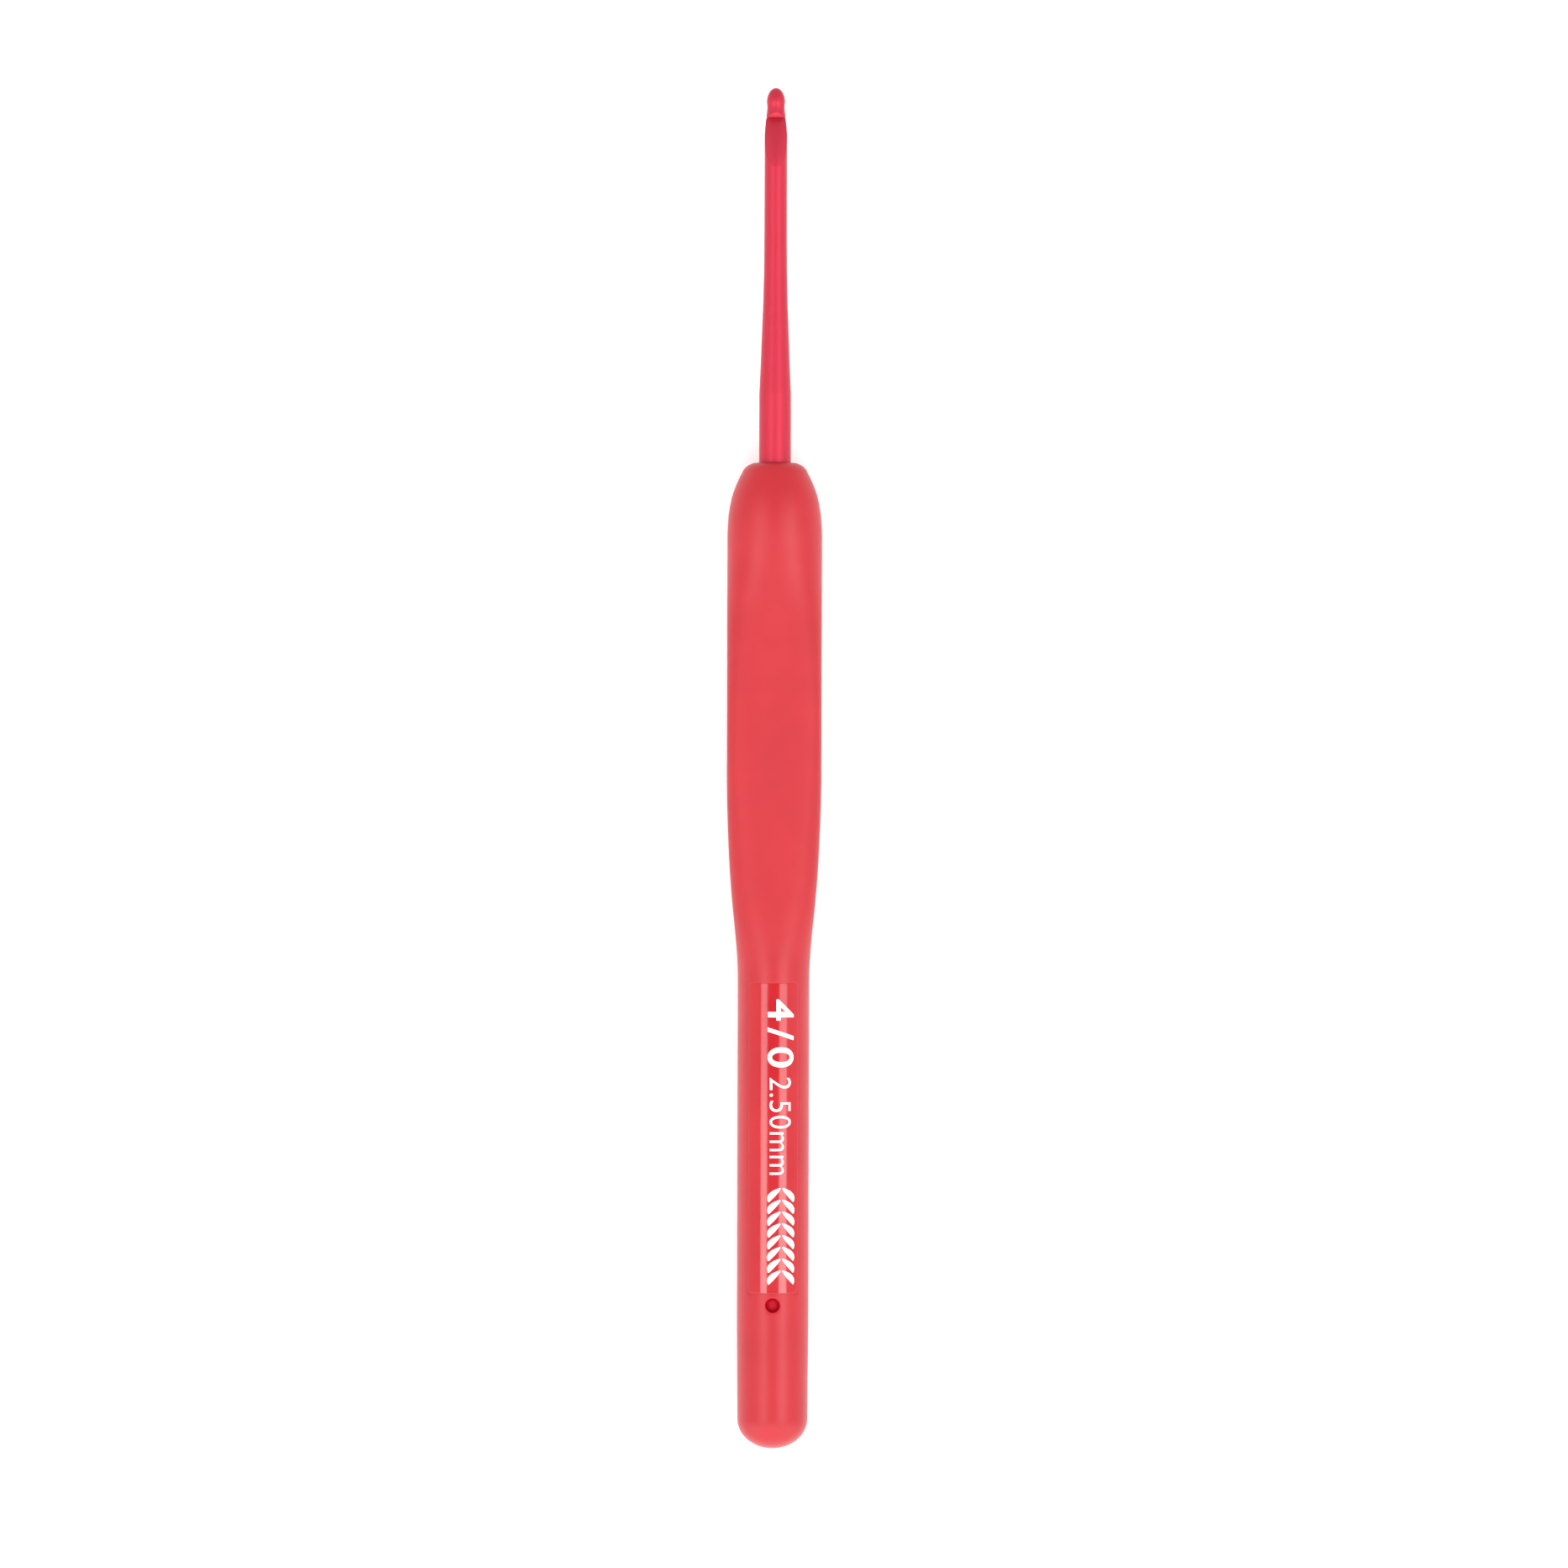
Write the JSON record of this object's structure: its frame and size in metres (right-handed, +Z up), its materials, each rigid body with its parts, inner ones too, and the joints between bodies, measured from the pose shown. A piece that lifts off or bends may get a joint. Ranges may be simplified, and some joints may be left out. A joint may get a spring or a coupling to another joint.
{
  "type": "crochet hook",
  "caption": "Crochet hook: slim metal hook with a rounded head and cut throat, set in a soft cushioned handle with a flattened thumb rest and a glossy size panel.",
  "frame": {"origin": "on the table, under the middle of the hook as it lies with its mouth up", "axes": "+Y along the hook towards its tip, +Z up, the side that the mouth and the size panel face, +X to the right seen from above with the tip ahead"},
  "size_m": [0.0104, 0.15, 0.0084],
  "materials": {
    "anodised_metal": "satin red anodised",
    "core_plastic": "glossy red moulding with printed size",
    "grip_elastomer": "satin red soft elastomer"
  },
  "bodies": {
    "root": {"hook_shank": "anodised_metal", "handle_core": "core_plastic", "cushion_grip": "grip_elastomer"}
  },
  "joints": []
}
